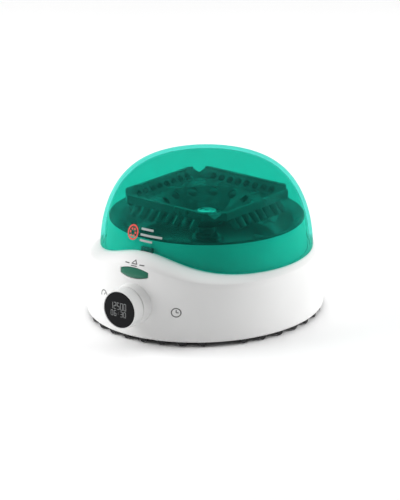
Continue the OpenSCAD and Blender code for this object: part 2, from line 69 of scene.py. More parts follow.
LID_LOW, LID_HIGH = box_mm("lid")
AXIS_Y = 10.0
LID_R = (LID_HIGH.x - LID_LOW.x) / 2
LID_Z = 55.4
LID_TOP = LID_HIGH.z
LID_T = 3.4
BROW_RISE = 17.0
BROW_W = 45.5
BASE_HALF = (97.0, 106.2)
CREST_HALF = (93.3, 101.0)
BASE_Y, CREST_Y = 8.65, 5.95
SKIRT_Z, CREST_Z = 4.0, 51.4
SHELL_T = 2.6
SEAT_R, SEAT_T = 84.9, 3.0
LID_GAP = 0.4
EDGE_DROP, BROW_DROP = 4.0, 5.5
HINGE_Y, HINGE_Z = 104.2, 59.0
KNOB_Z = 32.0
BUTTON_Z, BUTTON_W, BUTTON_H = 58.3, 27.0, 8.6
BLUNTING = 9.0
LID_SCREW_X, LID_SCREW_Z, LID_SCREW_SEAT = 13, 68.4, 1.6
EAR_X, EAR_W, EAR_R, EAR_FOOT_Z = 20.5, 7, 4, 51.5
PIN_BORE_R = 1.54
VENT_PITCH, VENT_R, VENT_LOW, VENT_HIGH = 6, 1.2, 34.2, 44.8
WALL_Y = -96.0
INLET_Z = 22.0
INLET_A, SWITCH_A = 162, 198


def mix(a, b, t):
    return a + (b - a) * t


def sin_d(a):
    return math.sin(math.radians(a))


def cos_d(a):
    return math.cos(math.radians(a))


# ---- making meshes

def new_mesh(name, points, faces, sharp_over=32):
    """A closed mesh object from points in millimetres, smooth but for edges over an angle."""
    mesh = bpy.data.meshes.new(name)
    mesh.from_pydata([Vector(p) * MM for p in points], [], faces)
    finish_mesh(mesh, sharp_over)
    obj = bpy.data.objects.new(name, mesh)
    bpy.context.scene.collection.objects.link(obj)
    return obj


def finish_mesh(mesh, sharp_over=32):
    """Welds, turns the faces outwards and marks the sharp edges."""
    work = bmesh.new()
    work.from_mesh(mesh)
    bmesh.ops.remove_doubles(work, verts=work.verts, dist=1e-7)
    bmesh.ops.recalc_face_normals(work, faces=work.faces)
    for face in work.faces:
        face.smooth = True
    limit = math.radians(sharp_over)
    for edge in work.edges:
        edge.smooth = len(edge.link_faces) == 2 and edge.calc_face_angle(0) < limit
    work.to_mesh(mesh)
    work.free()
    mesh.update()


def place(obj, body, material, replaces=()):
    """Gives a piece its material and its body."""
    obj.data.materials.clear()
    obj.data.materials.append(material)
    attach(obj, body)
    if replaces:
        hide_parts(*replaces)
    return obj


def ring_faces(rings, per_ring, closed_rings=True):
    """Quads between rings of points that follow each other. A ring is closed on itself."""
    faces = []
    for i in range(rings if closed_rings else rings - 1):
        for j in range(per_ring):
            k = (j + 1) % per_ring
            n = (i + 1) % rings
            faces.append((i * per_ring + j, n * per_ring + j, n * per_ring + k, i * per_ring + k))
    return faces


def fillet(points, radius, steps=4, closed=True):
    """Rounds each corner of a flat outline. A point may carry its own radius as a third number."""
    out = []
    count = len(points)
    for i, point in enumerate(points):
        p = Vector(point[:2])
        r = point[2] if len(point) > 2 else radius
        if not closed and i in (0, count - 1):
            out.append(tuple(p))
            continue
        before = Vector(points[i - 1][:2]) - p
        after = Vector(points[(i + 1) % count][:2]) - p
        half = before.angle(after) / 2
        cut = min(r / math.tan(half), before.length * 0.48, after.length * 0.48) if half > 1e-3 else 0
        if r <= 0 or cut < 1e-4 or half > math.radians(88):
            out.append(tuple(p))
            continue
        r = cut * math.tan(half)
        start = p + before.normalized() * cut
        centre = p + (before.normalized() + after.normalized()).normalized() * (r / math.sin(half))
        a0 = math.atan2(start.y - centre.y, start.x - centre.x)
        end = p + after.normalized() * cut
        turn = math.atan2(end.y - centre.y, end.x - centre.x) - a0
        turn = (turn + math.pi) % TAU - math.pi
        for s in range(steps + 1):
            a = a0 + turn * s / steps
            out.append((centre.x + r * math.cos(a), centre.y + r * math.sin(a)))
    return out


def circle(u, v, r, steps=48):
    return [(u + r * math.cos(TAU * i / steps), v + r * math.sin(TAU * i / steps)) for i in range(steps)]


def lathe(name, section, centre, axis="z", around=160, sharp_over=32):
    """A turned solid. The closed section is (radius, place along the axis)."""
    points = []
    for i in range(around):
        a = TAU * i / around
        for r, h in section:
            if axis == "z":
                points.append((centre[0] + r * math.cos(a), centre[1] + r * math.sin(a), h))
            elif axis == "y":
                points.append((centre[0] + r * math.cos(a), h, centre[1] + r * math.sin(a)))
            else:
                points.append((h, centre[0] + r * math.cos(a), centre[1] + r * math.sin(a)))
    return new_mesh(name, points, ring_faces(around, len(section)), sharp_over)


def prism(name, outline, along, low, high, sharp_over=32):
    """A flat outline pulled along an axis, with both ends closed."""
    points = []
    for h in (low, high):
        for u, v in outline:
            points.append({"x": (h, u, v), "y": (u, h, v), "z": (u, v, h)}[along])
    n = len(outline)
    faces = [tuple(range(n)), tuple(range(2 * n - 1, n - 1, -1))]
    faces += [(j, (j + 1) % n, n + (j + 1) % n, n + j) for j in range(n)]
    return new_mesh(name, points, faces, sharp_over)


def slab(name, low, high, round_by=0.0):
    """A box, with its corners rounded in plan."""
    outline = [(low[0], low[1]), (high[0], low[1]), (high[0], high[1]), (low[0], high[1])]
    if round_by:
        outline = fillet(outline, round_by)
    return prism(name, outline, "z", low[2], high[2])


def helix(name, turns, radius, wire, centre, axis, start, end, closed_ends=1):
    """A coiled wire along X or Y, with flat turns at its ends."""
    per_turn, sides = 28, 8
    total = turns * per_turn
    points = []
    for i in range(total + 1):
        a = TAU * i / per_turn
        t = min(max((i / per_turn - closed_ends) / (turns - 2 * closed_ends), 0), 1)
        along = mix(start, end, t)
        for j in range(sides):
            b = TAU * j / sides
            r = radius + wire * math.cos(b)
            h = along + wire * math.sin(b)
            u, v = centre[0] + r * math.cos(a), centre[1] + r * math.sin(a)
            points.append((h, u, v) if axis == "x" else (u, h, v))
    faces = ring_faces(total + 1, sides, closed_rings=False)
    faces.append(tuple(range(sides)))
    faces.append(tuple(range(len(points) - 1, len(points) - 1 - sides, -1)))
    return new_mesh(name, points, faces, 60)


def boolean(obj, cutters, operation="DIFFERENCE", sharp_over=32):
    """Cuts or adds other objects, then removes them."""
    for cutter in cutters:
        step = obj.modifiers.new("cut", "BOOLEAN")
        step.operation = operation
        step.solver = "EXACT"
        step.object = cutter
    bpy.context.view_layer.update()
    shape = bpy.data.meshes.new_from_object(obj.evaluated_get(bpy.context.evaluated_depsgraph_get()))
    obj.modifiers.clear()
    obj.data = shape
    for cutter in cutters:
        bpy.data.objects.remove(cutter)
    finish_mesh(obj.data, sharp_over)
    return obj


# ---- materials

# how clear the lid is, and how little it bends light
LID_CLEAR = 0.965
LID_IOR = 1.006
ALONG_Z = (1, 1, 0.04)
ALONG_X = (0.04, 1, 1)
COAT_ROUGHNESS = 0.05


def shader(name, color, roughness, metallic=0.0, ior=1.5, specular=0.5, coat=0.0):
    """A material with a plain Principled shader."""
    material = bpy.data.materials.new(name)
    material.use_nodes = True
    bsdf = material.node_tree.nodes["Principled BSDF"]
    bsdf.inputs["Base Color"].default_value = (*color, 1)
    bsdf.inputs["Roughness"].default_value = roughness
    bsdf.inputs["Metallic"].default_value = metallic
    bsdf.inputs["IOR"].default_value = ior
    bsdf.inputs["Specular IOR Level"].default_value = specular
    bsdf.inputs["Coat Weight"].default_value = coat
    bsdf.inputs["Coat Roughness"].default_value = COAT_ROUGHNESS
    return material


def noise(material, per_metre, detail=3.0, stretch=(1, 1, 1)):
    """A noise texture fixed to the object's own coordinates."""
    tree = material.node_tree
    place_node = tree.nodes.new("ShaderNodeTexCoord")
    scale = tree.nodes.new("ShaderNodeMapping")
    scale.inputs["Scale"].default_value = stretch
    texture = tree.nodes.new("ShaderNodeTexNoise")
    texture.inputs["Scale"].default_value = per_metre
    texture.inputs["Detail"].default_value = detail
    tree.links.new(place_node.outputs["Object"], scale.inputs["Vector"])
    tree.links.new(scale.outputs["Vector"], texture.inputs["Vector"])
    return texture


def add_grain(material, per_metre, depth, stretch=(1, 1, 1), strength=0.5):
    """A fine raised grain, depth in metres."""
    tree = material.node_tree
    texture = noise(material, per_metre, stretch=stretch)
    bump = tree.nodes.new("ShaderNodeBump")
    bump.inputs["Strength"].default_value = strength
    bump.inputs["Distance"].default_value = depth
    tree.links.new(texture.outputs["Fac"], bump.inputs["Height"])
    tree.links.new(bump.outputs["Normal"], tree.nodes["Principled BSDF"].inputs["Normal"])


def add_wear(material, per_metre, rough_low, rough_high, stretch=(1, 1, 1)):
    """Roughness that drifts between two values."""
    tree = material.node_tree
    texture = noise(material, per_metre, 2.0, stretch)
    drift = tree.nodes.new("ShaderNodeMapRange")
    drift.inputs["From Min"].default_value = 0.3
    drift.inputs["From Max"].default_value = 0.7
    drift.inputs["To Min"].default_value = rough_low
    drift.inputs["To Max"].default_value = rough_high
    tree.links.new(texture.outputs["Fac"], drift.inputs["Value"])
    tree.links.new(drift.outputs["Result"], tree.nodes["Principled BSDF"].inputs["Roughness"])


def add_tint(material, per_metre, first, second, stretch=(1, 1, 1)):
    """Colour that drifts between two close tones."""
    tree = material.node_tree
    texture = noise(material, per_metre, 2.0, stretch)
    ramp = tree.nodes.new("ShaderNodeValToRGB")
    ramp.color_ramp.elements[0].position = 0.35
    ramp.color_ramp.elements[0].color = (*first, 1)
    ramp.color_ramp.elements[1].position = 0.65
    ramp.color_ramp.elements[1].color = (*second, 1)
    tree.links.new(texture.outputs["Fac"], ramp.inputs["Fac"])
    tree.links.new(ramp.outputs["Color"], tree.nodes["Principled BSDF"].inputs["Base Color"])


def plastic(name, color, rough, grain=0.00001, per_metre=2600, drift=0.04, coat=0.0, specular=0.5):
    """Moulded plastic: a spark-eroded grain, slow changes of gloss and of tone."""
    material = shader(name, color, rough, coat=coat, specular=specular)
    add_grain(material, per_metre, grain, strength=0.35)
    add_wear(material, 60, max(rough - drift, 0.03), rough + drift)
    add_tint(material, 22, color, tuple(c * 0.975 for c in color))
    return material


def rubber(name, color):
    material = shader(name, color, 0.75, specular=0.3)
    add_grain(material, 1800, 0.00003, strength=0.6)
    add_tint(material, 90, color, tuple(c * 1.5 for c in color))
    return material


def metal(name, color, rough, stretch=(1, 1, 1), per_metre=900):
    """Metal with fine lines from turning, drawing or brushing."""
    material = shader(name, color, rough, metallic=1.0)
    add_grain(material, per_metre, 0.000006, stretch, strength=0.5)
    add_wear(material, per_metre / 4, rough * 0.75, rough * 1.3, stretch)
    add_tint(material, 120, color, tuple(c * 0.88 for c in color), stretch)
    return material


def tinted_clear(name, color, shadow_color, rough):
    """Clear tinted plastic that lets lamps through to what it covers."""
    material = shader(name, color, rough, ior=LID_IOR, coat=0.08)
    tree = material.node_tree
    bsdf = tree.nodes["Principled BSDF"]
    bsdf.inputs["Transmission Weight"].default_value = LID_CLEAR
    add_wear(material, 35, rough * 0.6, rough * 1.4)
    lamp_side = tree.nodes.new("ShaderNodeBsdfTransparent")
    lamp_side.inputs["Color"].default_value = (*shadow_color, 1)
    ray = tree.nodes.new("ShaderNodeLightPath")
    choose = tree.nodes.new("ShaderNodeMixShader")
    tree.links.new(ray.outputs["Is Shadow Ray"], choose.inputs["Fac"])
    tree.links.new(bsdf.outputs["BSDF"], choose.inputs[1])
    tree.links.new(lamp_side.outputs["BSDF"], choose.inputs[2])
    tree.links.new(choose.outputs["Shader"], tree.nodes["Material Output"].inputs["Surface"])
    return material


housing_white = plastic("housing_white", (0.8, 0.8, 0.795), 0.34, grain=0.000006, drift=0.03)
knob_white = plastic("knob_white", (0.76, 0.76, 0.755), 0.38, grain=0.000005, drift=0.03)
collar_white = plastic("collar_white", (0.78, 0.78, 0.77), 0.45)
arm_white = plastic("arm_white", (0.74, 0.74, 0.735), 0.36)
natural_white = plastic("natural_white", (0.62, 0.62, 0.58), 0.5)
base_black = plastic("base_black", (0.012, 0.012, 0.013), 0.55, grain=0.00002)
part_black = plastic("part_black", (0.016, 0.016, 0.017), 0.5, grain=0.00002)
rocker_black = plastic("rocker_black", (0.012, 0.012, 0.012), 0.3)
hook_black = plastic("hook_black", (0.02, 0.07, 0.06), 0.35)
bowl_dark = plastic("bowl_dark", (0.03, 0.033, 0.034), 0.22, drift=0.06, coat=0.2)
rotor_dark = plastic("rotor_dark", (0.018, 0.02, 0.021), 0.26, drift=0.05, coat=0.1)
button_green = plastic("button_green", (0.02, 0.16, 0.1), 0.3, drift=0.03)
window_black = plastic("window_black", (0.006, 0.006, 0.007), 0.16, grain=0.0, drift=0.02, specular=0.12)
board_green = plastic("board_green", (0.02, 0.13, 0.05), 0.4, grain=0.00001, per_metre=700)
display_glass = plastic("display_glass", (0.02, 0.03, 0.035), 0.12, grain=0.0)
foot_rubber = rubber("foot_rubber", (0.012, 0.012, 0.012))
steel = metal("steel", (0.56, 0.56, 0.58), 0.28)
drawn_steel = metal("drawn_steel", (0.45, 0.45, 0.47), 0.35, ALONG_Z)
dark_steel = metal("dark_steel", (0.11, 0.11, 0.115), 0.38)
pin_steel = metal("pin_steel", (0.6, 0.6, 0.62), 0.2, ALONG_X)
aluminium = metal("aluminium", (0.72, 0.73, 0.74), 0.3, (1, 1, 6))
nickel = metal("nickel", (0.66, 0.64, 0.6), 0.15)
brass = metal("brass", (0.72, 0.52, 0.22), 0.25)
copper = metal("copper", (0.55, 0.25, 0.12), 0.4, ALONG_Z)
iron = metal("iron", (0.2, 0.19, 0.18), 0.55, (1, 1, 12))
lid_teal = tinted_clear("lid_teal", (0.08, 0.66, 0.55), (0.03, 0.42, 0.4), 0.01)
print_grey = plastic("print_grey", (0.12, 0.12, 0.12), 0.5, grain=0.0)
print_light = plastic("print_light", (0.42, 0.42, 0.42), 0.45, grain=0.0)
print_red = plastic("print_red", (0.75, 0.06, 0.05), 0.45, grain=0.0)
digit_grey = plastic("digit_grey", (0.3, 0.31, 0.31), 0.4, grain=0.0)


# ---- the housing's surface

def brow(a):
    """How much of the front brow there is at an angle, from 0 to 1."""
    side = LID_R * (abs(sin_d(a)) if cos_d(a) > 0 else 1)
    return math.exp(-(side / BROW_W) ** 2)


def seat_z(a):
    return LID_Z - LID_GAP + BROW_RISE * brow(a)


def edge_z(a):
    return seat_z(a) - EDGE_DROP - BROW_DROP * brow(a)


def wall_point(a, z, inset=0.0):
    """A point of the tapered oval wall, set in by a distance."""
    t = (z - SKIRT_Z) / (CREST_Z - SKIRT_Z)
    half_w = mix(BASE_HALF[0], CREST_HALF[0], t) - inset
    half_d = mix(BASE_HALF[1], CREST_HALF[1], t) - inset
    return Vector((half_w * sin_d(a), mix(BASE_Y, CREST_Y, t) - half_d * cos_d(a), z))


def round_point(a, r, z):
    return Vector((r * sin_d(a), AXIS_Y - r * cos_d(a), z))


def shoulder_point(a, turn):
    """The shoulder rolls from the wall, at turn 0, in to the lid's edge, at turn 90."""
    p = mix(1.15, 2, brow(a))
    low = wall_point(a, edge_z(a))
    high = round_point(a, LID_R, seat_z(a))
    inward = 1 - max(cos_d(turn), 0) ** (2 / p)
    upward = max(sin_d(turn), 0) ** (2 / p)
    return Vector((mix(low.x, high.x, inward), mix(low.y, high.y, inward), mix(low.z, high.z, upward)))


def shell_section(a):
    """Up the outside, over the shoulder, in under the lid and down the inside."""
    points = []
    for turn in range(0, 91, 18):
        points.append(wall_point(a, SKIRT_Z + 2.2 * (1 - cos_d(turn)), 1.6 * (1 - sin_d(turn))))
    for step in range(1, 9):
        points.append(wall_point(a, mix(SKIRT_Z + 2.2, edge_z(a), step / 9)))
    for turn in range(0, 91, 5):
        points.append(shoulder_point(a, turn))
    top = seat_z(a)
    points.append(round_point(a, SEAT_R + 0.4, top))
    points.append(round_point(a, SEAT_R, top - 0.4))
    points.append(round_point(a, SEAT_R, top - SEAT_T))
    points.append(wall_point(a, edge_z(a) - 2.4, SHELL_T))
    points.append(wall_point(a, SKIRT_Z, SHELL_T))
    return points


def lens_outline(width, height, centre_z, steps=24):
    """The button's outline in X and Z: two shallow arcs with blunt, rounded ends."""
    tip = width + BLUNTING
    r = (tip**2 / 4 + height**2 / 4) / height
    half = math.asin(width / 2 / r)
    upper = [
        (r * math.sin(mix(-half, half, i / steps)),
         centre_z - r + height / 2 + r * math.cos(mix(-half, half, i / steps)))
        for i in range(steps + 1)
    ]
    lower = [(x, 2 * centre_z - z) for x, z in reversed(upper)]
    return fillet(upper + lower, 1.2, 5)


def at_rear(a):
    """A matrix whose origin is on the wall at an angle, with +Y straight outwards."""
    t = (INLET_Z - SKIRT_Z) / (CREST_Z - SKIRT_Z)
    half_w, half_d = mix(BASE_HALF[0], CREST_HALF[0], t), mix(BASE_HALF[1], CREST_HALF[1], t)
    tilt = math.atan2(sin_d(a) / half_w, -cos_d(a) / half_d)
    return Matrix.Translation(wall_point(a, INLET_Z) * MM) @ Matrix.Rotation(-tilt, 4, "Z")


def moved(obj, matrix):
    obj.data.transform(matrix)
    return obj


def build_housing():
    around = 240
    sections = [shell_section(360 * i / around) for i in range(around)]
    per = len(sections[0])
    points = [p for section in sections for p in section]
    shell = new_mesh("housing_shell", points, ring_faces(around, per))
    ears = []
    for inner_x in (-EAR_X - EAR_W, EAR_X):
        outline = [(HINGE_Y + EAR_R * cos_d(t), HINGE_Z + EAR_R * sin_d(t)) for t in range(0, 181, 12)]
        outline += [(HINGE_Y - EAR_R, EAR_FOOT_Z), (HINGE_Y + EAR_R, EAR_FOOT_Z)]
        ears.append(prism("ear", outline, "x", inner_x, inner_x + EAR_W))
    boolean(shell, ears, "UNION")
    cutters = [
        prism("cut_pin", circle(HINGE_Y, HINGE_Z, PIN_BORE_R), "x", -30, 30),
        prism("cut_knob", circle(0, KNOB_Z, 16.0, 96), "y", WALL_Y - 6, WALL_Y + 12),
        prism("cut_button", lens_outline(BUTTON_W + 0.9, BUTTON_H + 0.9, BUTTON_Z), "y", -104, -86),
        slab("cut_hook", (-7, -77.8, 60), (7, -73, 80)),
        moved(prism("cut_inlet", circle(0, 0, 5.1), "y", -14, 8), at_rear(INLET_A)),
        moved(slab("cut_switch", (-10.2, -14, -6.7), (10.2, 8, 6.7)), at_rear(SWITCH_A)),
        moved(slab("cut_flange", (-11.7, -0.9, -8.2), (11.7, 8, 8.2)), at_rear(SWITCH_A)),
    ]
    for i in range(-4, 5):
        x = VENT_PITCH * i
        ends = [(x + VENT_R * cos_d(t), VENT_HIGH + VENT_R * sin_d(t)) for t in range(0, 181, 30)]
        ends += [(x + VENT_R * cos_d(t), VENT_LOW + VENT_R * sin_d(t)) for t in range(180, 361, 30)]
        cutters.append(prism("cut_vent", ends, "y", 100, 120))
    boolean(shell, cutters)
    shell.name = "housing_shell"
    place(shell, "base", housing_white, ["upper_housing"])


# ---- the lid

LID_RISE, LID_ROUND = 1.026, 0.548


def dome(turn, inset=0.0):
    """Radius and height of the dome; turn runs from the lower edge, at 0, to the pole, at 90."""
    return ((LID_R - inset) * max(cos_d(turn), 0) ** LID_ROUND,
            mix(LID_Z, LID_TOP - inset, max(sin_d(turn), 0) ** LID_RISE))


def dome_turn(z, inset=0.0):
    """The turn at which the dome reaches a height."""
    return math.degrees(math.asin(min(max((z - LID_Z) / (LID_TOP - inset - LID_Z), 0), 1) ** (1 / LID_RISE)))


def lid_edge(a, inset=0.0):
    """Height of the lid's lower edge at an angle."""
    z = LID_Z
    for _ in range(6):
        r = dome(dome_turn(z, inset), inset)[0]
        side = LID_R if cos_d(a) <= 0 else r * abs(sin_d(a))
        z = LID_Z + BROW_RISE * math.exp(-(side / BROW_W) ** 2)
    return z


def lid_section(a, steps=44):
    """Outside from the edge to the pole, then the inside back down to the edge."""
    def side(inset, low):
        start = dome_turn(low, inset)
        return [dome(mix(start, 90, 1 - (1 - i / steps) ** 1.8), inset) for i in range(steps + 1)]

    edge = lid_edge(a)
    outer = side(0, edge + 0.7)
    inner = side(LID_T, edge + 0.5)
    foot_out = dome(dome_turn(edge), 0)[0]
    foot_in = dome(dome_turn(edge), LID_T)[0]
    rim = [(foot_in + 0.1, edge + 0.15), (foot_in + 0.5, edge), (foot_out - 0.7, edge),
           (foot_out - 0.2, edge + 0.2)]
    return outer + inner[::-1] + rim


def build_lid():
    around = 216
    points = []
    for i in range(around):
        a = 360 * i / around
        section = lid_section(a)
        points += [round_point(a, r, z) for r, z in section]
    lid = new_mesh("lid_dome", points, ring_faces(around, len(section)), 50)
    cutters = [prism("cut_screw", circle(x, LID_SCREW_Z, 1.05, 24), "y", 90, 110)
               for x in (-LID_SCREW_X, LID_SCREW_X)]
    boolean(lid, cutters, sharp_over=50)
    lid.name = "lid_dome"
    place(lid, "lid", lid_teal, ["lid"])


# ---- chamber

def build_chamber():
    low, high = box_mm("chamber_bowl")
    bowl_r = (high.x - low.x) / 2
    rim = high.z
    bowl = fillet([
        (bowl_r, rim - 2), (bowl_r, rim, 0.5), (bowl_r - 1.3, rim, 0.6), (71.6, 78.2, 6), (69.6, 70, 9),
        (66.6, 63, 4), (60, 59.2, 6), (15, 59.2, 1.5), (13, 62, 0.8), (8, 62), (8, 57), (60.6, 57, 6),
        (68.5, 61.6, 4), (71.8, 69.6, 9), (73.6, 77, 6), (bowl_r - 2.6, rim - 2)], 0, 6)
    piece = lathe("chamber_bowl_shell", bowl, (0, AXIS_Y), around=192, sharp_over=40)
    place(piece, "base", bowl_dark, ["chamber_bowl"])
    collar = fillet([
        (bowl_r, rim - 2), (84.6, 57, 3), (84.6, 50.6), (87, 50.6, 0.4), (87, 48.4, 0.4), (82.2, 48.4),
        (82.2, 57, 3), (bowl_r - 2.4, rim - 2)], 0, 5)
    piece = lathe("chamber_collar_ring", collar, (0, AXIS_Y), around=192, sharp_over=40)
    boolean(piece, [slab("cut_latch", (-11, -80, 51), (11, -60, 64))])
    place(piece, "base", collar_white, ["chamber_collar"])
    seal = fillet([(2.8, 58), (8, 57), (8, 62), (9.6, 62, 0.4), (9.6, 63.2, 0.4), (4.5, 63.2, 0.4),
                   (2.8, 62, 0.4)], 0)
    place(lathe("shaft_lip_seal", seal, (0, AXIS_Y), around=96), "base", foot_rubber,
          ["shaft_seal"])


# ---- knob, window and button

def build_knob():
    face = box_mm("display_window")[0].y
    ring = fillet([
        (15.3, face + 0.1, 0.2), (16.0, face + 0.1, 0.35), (16.34, face + 0.6, 0.5), (16.7, -104.2, 0.25),
        (14.6, -104.2), (14.6, -97, 0.2), (12.6, -97, 0.2), (12.6, -110), (15.3, -110)], 0, 5)
    place(lathe("knob_turning_ring", ring, (0, KNOB_Z), "y"), "knob", knob_white,
          ["knob_ring"])
    window = fillet([(0, face + 0.06), (14.8, face + 0.06, 0.25), (15.1, face + 0.4, 0.25), (15.1, -113.2),
                     (0, -113.2)], 0, 4)
    place(lathe("knob_window_disc", window, (0, KNOB_Z), "y"), "knob_carrier",
          window_black, ["display_window"])
    back = -90.5
    collar = lathe("knob_base_collar", fillet([
        (14.9, -103.4, 0.2), (16.8, -103.4, 0.3), (17.3, -97.5, 2.0), (18.2, back), (14.9, back)], 0, 5),
        (0, KNOB_Z), "y")
    outline = [wall_point(a, KNOB_Z, 0.35)[:2] for a in range(-15, 16)]
    outline += [(40, -60), (-40, -60)]
    block = prism("cut_wall", outline, "z", -2, 70)
    shear = Matrix.Identity(4)
    slope = (wall_point(0, 50).y - wall_point(0, 20).y) / 30
    shear[1][2] = slope
    moved(block, Matrix.Translation((0, -slope * KNOB_Z * MM, 0)) @ shear)
    boolean(collar, [block])
    place(collar, "base", housing_white, ["knob_collar"])


def build_button():
    """The lens-shaped button: its face follows the wall and is slightly crowned."""
    outline = lens_outline(BUTTON_W, BUTTON_H, BUTTON_Z)
    centre = Vector((0, BUTTON_Z))
    rings = []
    for shrink, front in ((1.0, 0.0), (1.0, 0.9), (0.985, 1.3), (0.95, 1.55), (0.85, 1.8), (0.6, 2.0),
                          (0.3, 2.1)):
        ring = []
        for x, z in outline:
            p = centre + (Vector((x, z)) - centre) * shrink
            sag = (p.x / 96) ** 2 * 48
            y = -90.7 if front == 0 else -93.6 - front + sag + max(p.y - BUTTON_Z + 1.5, 0) * 0.3
            ring.append((p.x, y, p.y))
        rings.append(ring)
    n = len(outline)
    points = [p for ring in rings for p in ring]
    faces = ring_faces(len(rings), n, closed_rings=False)
    faces += [tuple(range(n)), tuple(range(len(points) - 1, len(points) - 1 - n, -1))]
    cap = new_mesh("release_button_cap", points, faces, 45)
    foot = slab("button_foot", (-11, -90.8, 52.7), (11, -89.4, 59.7), 0.6)
    boolean(cap, [foot], "UNION", 45)
    place(cap, "button", button_green, ["release_button"])


# ---- springs and screws

def build_springs():
    spring = helix("lid_spring_coil", 8, 2.7, 0.45, (HINGE_Y, HINGE_Z), "x", -4.4, 4.4)
    place(spring, "base", steel, ["lid_spring"])
    low, high = box_mm("latch_spring")
    coil = helix("latch_spring_coil", 6, 2.2, 0.38, (0, (low.z + high.z) / 2), "y", low.y + 0.4,
                 high.y - 0.4)
    place(coil, "base", steel, ["latch_spring"])
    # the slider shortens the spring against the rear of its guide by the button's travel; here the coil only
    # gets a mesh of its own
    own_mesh(coil)


def screw_solid(name, head_r, head_h, shank_r, length, cross=True):
    """A pan-head screw along +Z: the seat is at 0, the head above it and the shank below."""
    section = fillet([
        (0, head_h), (head_r, head_h, head_h * 0.7), (head_r, 0, 0.1), (shank_r, 0, 0.1),
        (shank_r, -length + shank_r * 0.6), (shank_r * 0.4, -length), (0, -length)], 0, 5)
    screw = lathe(name, section, (0, 0), around=48, sharp_over=40)
    if cross:
        arm, deep, wide = head_r * 0.55, head_h * 0.55, head_r * 0.13
        cuts = [slab("c1", (-arm, -wide, head_h - deep), (arm, wide, head_h + 1)),
                slab("c2", (-wide, -arm, head_h - deep), (wide, arm, head_h + 1))]
        boolean(screw, cuts, sharp_over=40)
    return screw


def build_screws():
    for i, a in enumerate((45, 135, 225, 315)):
        p = wall_point(a, 13, SHELL_T + 3.6)
        screw = screw_solid(f"base_screw_{i + 1}", 2.9, 1.4, 1.25, 12)
        moved(screw, Matrix.Translation((p.x * MM, p.y * MM, 5.6 * MM)) @ Matrix.Rotation(math.pi, 4, "X"))
        place(screw, "base", steel, ["base_screws"])
    for i, x in enumerate((-LID_SCREW_X, LID_SCREW_X)):
        screw = screw_solid(f"lid_screw_{i + 1}", 1.9, 1.2, 1.0, 4.3)
        seat = Matrix.Translation((x * MM, (AXIS_Y + LID_R + LID_SCREW_SEAT) * MM, LID_SCREW_Z * MM))
        moved(screw, seat @ Matrix.Rotation(-math.pi / 2, 4, "X"))
        place(screw, "lid", steel, ["lid_screws"])


# ---- printed marks: closed strips a few hundredths proud of the surface under them

def strip(points2, width, on_surface, proud=0.05, deep=0.12, closed=False):
    """A stroke along a flat path, laid on a surface. Returns its points and faces."""
    path = [Vector(p) for p in points2]
    fine = []
    count = len(path) if closed else len(path) - 1
    for i in range(count):
        a, b = path[i], path[(i + 1) % len(path)]
        steps = max(1, math.ceil((b - a).length / 0.6))
        fine += [a.lerp(b, s / steps) for s in range(steps)]
    if not closed:
        fine.append(path[-1])
    points, n = [], len(fine)
    for i, p in enumerate(fine):
        before = fine[i - 1] if closed or i > 0 else p
        after = fine[(i + 1) % n] if closed or i < n - 1 else p
        along = (after - before).normalized()
        side = Vector((-along.y, along.x)) * width / 2
        for offset, lift in ((side, proud), (-side, proud), (-side, -deep), (side, -deep)):
            q = p + offset
            points.append(on_surface(q.x, q.y, lift))
    faces = ring_faces(n, 4, closed_rings=closed)
    if not closed:
        faces += [(0, 1, 2, 3), (4 * n - 1, 4 * n - 2, 4 * n - 3, 4 * n - 4)]
    return points, faces


def printed(name, strokes, on_surface, body, material, proud=0.05):
    """One piece from several strokes: each is (path, width, closed)."""
    points, faces = [], []
    for path, width, closed in strokes:
        more, quads = strip(path, width, on_surface, proud, closed=closed)
        faces += [tuple(len(points) + v for v in quad) for quad in quads]
        points += more
    piece = new_mesh(name, points, faces)
    return place(piece, body, material)


def arc(u, v, r, a0, a1, steps=24):
    return [(u + r * cos_d(mix(a0, a1, i / steps)), v + r * sin_d(mix(a0, a1, i / steps)))
            for i in range(steps + 1)]


def on_wall(u, v, lift):
    """Front wall: u along X, v a height, lift straight outwards."""
    a = math.degrees(math.asin(u / mix(BASE_HALF[0], CREST_HALF[0], (v - SKIRT_Z) / (CREST_Z - SKIRT_Z))))
    if v <= edge_z(a):
        return wall_point(a, v, -lift)
    low, high = 0.0, 90.0
    for _ in range(24):
        turn = (low + high) / 2
        if shoulder_point(a, turn).z < v:
            low = turn
        else:
            high = turn
    p = shoulder_point(a, low)
    ahead = shoulder_point(a, low + 0.5) - shoulder_point(a, max(low - 0.5, 0))
    slope = math.atan2(math.hypot(ahead.x, ahead.y), ahead.z)
    out = Vector((sin_d(a), -cos_d(a), 0)) * math.cos(slope) + Vector((0, 0, math.sin(slope)))
    return p + out * lift


def on_lid(u, v, lift):
    """Lid: u is the distance round the spin axis from the front, v a height."""
    r = dome(dome_turn(v))[0] + lift
    a = math.degrees(u / LID_R)
    return round_point(a, r, v)


def on_knob(u, v, lift):
    return Vector((u, box_mm("display_window")[0].y + 0.06 - lift, KNOB_Z + v))


SEGMENTS = {
    "0": "abcdef", "1": "bc", "2": "abged", "3": "abgcd", "4": "fgbc", "5": "afgcd", "6": "afgedc",
    "7": "abc", "8": "abcdefg", "9": "gfabcd",
}


